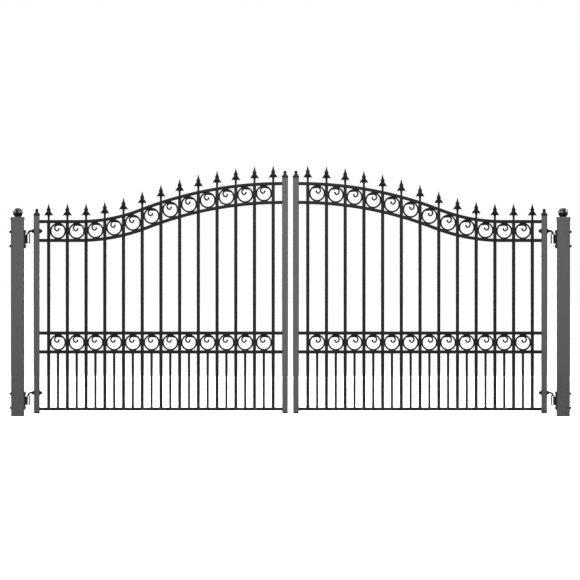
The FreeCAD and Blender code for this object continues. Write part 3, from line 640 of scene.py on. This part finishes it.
# each pull of a barb: how far out and down, then what is left of its height and depth
BARB_PULLS = ((0.0065, -0.0015, 0.80, 0.94), (0.0065, -0.0045, 0.66, 0.86),
              (0.0060, -0.0065, 0.55, 0.72), (0.0035, -0.0045, 0.45, 0.60))
BARB_SLIM = 0.75
RIDGE_HALF, RIDGE_FOOT, RIDGE_PROUD = 0.0022, 0.068, 1.22
BOSS_R, BOSS_Z = 0.0072, 0.051
BOSS_OUT, BOSS_FLAT = 0.0062, 0.62


def spear_body():
    body = start(bpy.ops.mesh.primitive_plane_add, size=1.0)
    bpy.ops.object.mode_set(mode="EDIT")
    bpy.ops.transform.resize(value=(STEM_W, STEM_D, 1.0), center_override=(0, 0, 0))
    bpy.ops.mesh.bevel(offset=STEM_CORNER, segments=1, affect="VERTICES")
    bpy.ops.mesh.select_all(action="SELECT")
    level, wide, deep = 0.0, 1.0, 1.0
    for height, width, depth in SPEAR_BODY:
        bpy.ops.mesh.extrude_region_move(TRANSFORM_OT_translate={"value": (0, 0, height - level)})
        bpy.ops.transform.resize(value=(width / wide, depth / deep, 1.0),
                                 center_override=(0, 0, height))
        level, wide, deep = height, width, depth
    return body


def sweep_barb(body, side):
    """Draws a barb out of one side of the hub, outwards and then down to a blunt point."""
    pick(body, "FACE",
         lambda place, normal: normal.x * side > 0.75 and BARB_LOW < place.z < BARB_HIGH)
    for out, down, high, deep in BARB_PULLS:
        bpy.ops.mesh.extrude_region_move(TRANSFORM_OT_translate={"value": (side * out, 0, down)})
        bpy.ops.transform.resize(value=(BARB_SLIM, deep, high))


def cast_spear():
    body = spear_body()
    for side in (1, -1):
        sweep_barb(body, side)
    close_up(body)
    body.modifiers.new("skin", "SUBSURF").levels = 2
    body.modifiers["skin"].render_levels = 2
    bpy.ops.object.modifier_apply(modifier="skin")
    pick(body, "VERT", lambda place, normal: abs(place.x) < RIDGE_HALF and place.z > RIDGE_FOOT)
    bpy.ops.transform.resize(value=(1.0, RIDGE_PROUD, 1.0), center_override=(0, 0, 0.09))
    bpy.ops.object.mode_set(mode="OBJECT")
    for face in (-1, 1):
        boss = start(bpy.ops.mesh.primitive_uv_sphere_add, segments=20, ring_count=12,
                     radius=BOSS_R, location=(0, face * BOSS_OUT, BOSS_Z),
                     scale=(1.0, BOSS_FLAT, 1.0))
        close_up(boss)
        body = join_up("spear", [body, boss])
    bpy.ops.object.shade_smooth_by_angle(angle=radians(50))
    return body


spear_pattern = cast_spear()
for hand in HANDS:
    feet = [Vector(((low.x + high.x) / 2, 0, high.z - SPEAR_HIGH))
            for low, high in islands(hand + "_spears")]
    spears = row_of(hand + "_cast_spears", spear_pattern,
                    [Matrix.Translation(foot) for foot in feet])
    finish_piece(spears, casting_coat, hand + "_leaf", "black_cast_iron", hand + "_spears")
bpy.data.objects.remove(spear_pattern)

# --------------------------------------------------------------------------------- stile caps
# A cast iron cap is driven over the top of each stile: a square skirt with an eased edge, a
# hollowed pyramid, a small collar and a ball, all one casting, coated satin black.
STILE_WIDTH = 0.045
CAP_LIP = 0.002
CAP_WALL = 0.0017
CAP_CORNER = 0.008
CAP_POCKET = 0.008
CAP_BALL_R = 0.0125
CAP_TOP, CAP_BALL_SUNK = 0.0305, 0.0025
CAP_BALL_LOW_ANGLE = -58
# height above the skirt's foot, then share of the skirt's width there
CAP_SLOPE = ((0.0112, 1.0), (0.0120, 0.972), (0.0128, 0.925), (0.0165, 0.79), (0.0210, 0.63),
             (0.0255, 0.50), (0.0300, 0.41), (0.0325, 0.375))
CAP_COLLAR = ((0.0, 0.0285), (0.0098, 0.0285), (0.0098, 0.0300), (0.0086, 0.0315))


def stile_cap():
    """One cap with the foot of its skirt at the origin."""
    width = STILE_WIDTH + 2 * CAP_LIP
    cap = start(bpy.ops.mesh.primitive_plane_add, size=width)
    bpy.ops.object.mode_set(mode="EDIT")
    bpy.ops.mesh.bevel(offset=CAP_CORNER, segments=5, affect="VERTICES")
    bpy.ops.mesh.select_all(action="SELECT")
    level, share = 0.0, 1.0
    for height, part in CAP_SLOPE:
        bpy.ops.mesh.extrude_region_move(TRANSFORM_OT_translate={"value": (0, 0, height - level)})
        bpy.ops.transform.resize(value=(part / share, part / share, 1),
                                 center_override=(0, 0, height))
        level, share = height, part
    close_up(cap)
    pick(cap, "FACE", lambda place, normal: normal.z < -0.9 and place.z < 0.0001)
    bpy.ops.mesh.inset(thickness=CAP_WALL)
    bpy.ops.mesh.extrude_region_move(TRANSFORM_OT_translate={"value": (0, 0, CAP_POCKET)})
    bpy.ops.object.mode_set(mode="OBJECT")
    centre = CAP_TOP + CAP_BALL_R - CAP_BALL_SUNK
    ball = turned(list(CAP_COLLAR) + ball_profile(CAP_BALL_R, centre, CAP_BALL_LOW_ANGLE, 16), 32)
    cap = join_up("stile_cap", [cap, ball])
    bpy.ops.object.shade_smooth_by_angle(angle=radians(35))
    return cap


cap_pattern = stile_cap()
for hand in HANDS:
    for stile in ("hinge_stile", "meeting_stile"):
        low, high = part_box(hand + "_" + stile + "_cap")
        foot = Vector(((low.x + high.x) / 2, 0, low.z))
        cap = row_of(hand + "_" + stile + "_finial", cap_pattern, [Matrix.Translation(foot)])
        finish_piece(cap, casting_coat, hand + "_leaf", "black_cast_iron",
                     hand + "_" + stile + "_cap")
bpy.data.objects.remove(cap_pattern)

# -------------------------------------------------------------------------------- stile plugs
# A moulded black polyethylene plug is pushed into the foot of each stile.  Spark-eroded
# mould texture leaves it matt, with no reflections.
PLUG_GRAIN_MM, PLUG_TONE_MM = 1.2, 9.0
plug_plastic, plug_tree, plug_shader, plug_place = bare_material("moulded_black_polyethylene")
plug_tones = add_node(plug_tree, "ShaderNodeTexNoise",
                      {"Vector": plug_place, "Scale": 1000 / PLUG_TONE_MM, "Detail": 4.0})
plug_colour = add_node(plug_tree, "ShaderNodeMix",
                       {0: plug_tones, 6: linear("#161617"), 7: linear("#232323")},
                       data_type="RGBA")
plug_grain = add_node(plug_tree, "ShaderNodeTexNoise",
                      {"Vector": plug_place, "Scale": 1000 / PLUG_GRAIN_MM})
plug_relief = add_node(plug_tree, "ShaderNodeBump",
                       {"Height": plug_grain, "Strength": 0.4, "Distance": 0.0001})
plug_tree.links.new(plug_colour.outputs[2], plug_shader.inputs["Base Color"])
plug_tree.links.new(plug_relief.outputs[0], plug_shader.inputs["Normal"])
plug_shader.inputs["Roughness"].default_value = 0.62
plug_shader.inputs["IOR"].default_value = 1.51
paint(plug_plastic, "stile_plugs")

# ---------------------------------------------------------------------------------- weld beads
# The bars are welded all round where they meet, and each scroll is tacked where it touches a
# rail or a picket.  The satin black coat covers the steel beads.
BAR_WIDTH, BAR_ROUND = 0.025, 0.004
THIN_WIDTH, THIN_ROUND = 0.019, 0.003
BEAD_R = 0.0022
BEAD_SUNK = 0.0008           # how far the middle of a bead lies inside the bars' faces
TACK_R, TACK_SHAPE = 0.0042, (1.0, 1.3, 0.8)
AT_END = 0.0002              # points this near a bar's end are part of it
FLAT_ANGLE = acos((RING_R - RING_LET_IN) / RING_R)     # from the middle of a ring's flat to its end


def weld_ring(name, width, corner):
    """A square bead about the origin in XY, as wide as the bar that stands in it."""
    ring = start(bpy.ops.mesh.primitive_plane_add, size=width - 2 * BEAD_SUNK)
    bpy.ops.object.mode_set(mode="EDIT")
    bpy.ops.mesh.bevel(offset=corner, segments=2, affect="VERTICES")
    bpy.ops.mesh.select_all(action="SELECT")
    bpy.ops.mesh.delete(type="ONLY_FACE")
    bpy.ops.object.mode_set(mode="OBJECT")
    bpy.ops.object.convert(target="CURVE")
    ring.data.bevel_depth = BEAD_R
    ring.data.bevel_resolution = 1
    bpy.ops.object.convert(target="MESH")
    ring = bpy.context.object
    close_up(ring, 80)
    ring.name = name
    return ring


def bar_ends(node):
    """Where each bar of a row ends: its foot and top on its own axis, with the slope there."""
    points = [v.co for v in nodes[node].data.vertices]
    ends = []
    for low, high in islands(node):
        own = [p for p in points if low.x - 1e-5 <= p.x <= high.x + 1e-5]
        middle = (low.z + high.z) / 2
        for above in (False, True):
            near = [p for p in own if (p.z > middle) == above]
            left = [p.z for p in near if p.x < low.x + AT_END]
            right = [p.z for p in near if p.x > high.x - AT_END]
            sides = [(max if above else min)(side) for side in (left, right)]
            slope = atan2(sides[1] - sides[0], high.x - low.x)
            ends.append(((low.x + high.x) / 2, sum(sides) / 2, slope))
    return ends


bar_bead = weld_ring("bar_bead", BAR_WIDTH, BAR_ROUND)
thin_bead = weld_ring("thin_bead", THIN_WIDTH, THIN_ROUND)
stem_bead = weld_ring("stem_bead", STEM_W, THIN_ROUND)
tack = start(bpy.ops.mesh.primitive_ico_sphere_add, subdivisions=2, radius=TACK_R,
             scale=TACK_SHAPE)
close_up(tack, 80)
for hand in HANDS:
    beads = []
    for row in ("top_band_pickets", "main_pickets", "band_pickets", "lower_pickets"):
        beads += [(bar_bead, x, z, slope) for x, z, slope in bar_ends(hand + "_" + row)]
    beads += [(thin_bead, x, z, slope) for x, z, slope in bar_ends(hand + "_dog_bars")]
    for low, high in islands(hand + "_spears"):
        beads.append((stem_bead, (low.x + high.x) / 2, high.z - SPEAR_HIGH, 0.0))
    placed = []
    for pattern, x, z, slope in beads:
        placed.append((pattern, Matrix.Translation((x, 0, z)) @ Matrix.Rotation(-slope, 4, "Y")))
    for rail in ("top_rail", "second_rail", "band_upper_rail", "band_lower_rail", "bottom_rail"):
        points = [v.co for v in nodes[hand + "_" + rail].data.vertices]
        for end in (min(p.x for p in points), max(p.x for p in points)):
            near = [p.z for p in points if abs(p.x - end) < AT_END]
            place = Matrix.Translation((end, 0, (min(near) + max(near)) / 2))
            placed.append((bar_bead, place @ Matrix.Rotation(pi / 2, 4, "Y")))
    for row in ("top_scrolls", "band_scrolls"):
        middles = [(low + high) / 2 for low, high in islands(hand + "_" + row)]
        for i, middle in enumerate(middles):
            along = middles[min(i + 1, len(middles) - 1)] - middles[max(i - 1, 0)]
            for turn in range(4):
                square_on = turn * pi / 2 + (atan2(along.z, along.x) if turn % 2 else 0.0)
                for side in (-1, 1):
                    angle = square_on + side * FLAT_ANGLE
                    touch = middle + Vector((cos(angle), 0, sin(angle))) * RING_R
                    placed.append((tack, Matrix.Translation(touch)))
    rows = [row_of("bead_row", pattern, [m for p, m in placed if p is pattern])
            for pattern in (bar_bead, thin_bead, stem_bead, tack)]
    finish_piece(join_up(hand + "_leaf_welds", rows), black_coat, hand + "_leaf",
                 "powder_coated_steel")
for pattern in (bar_bead, thin_bead, stem_bead, tack):
    bpy.data.objects.remove(pattern)
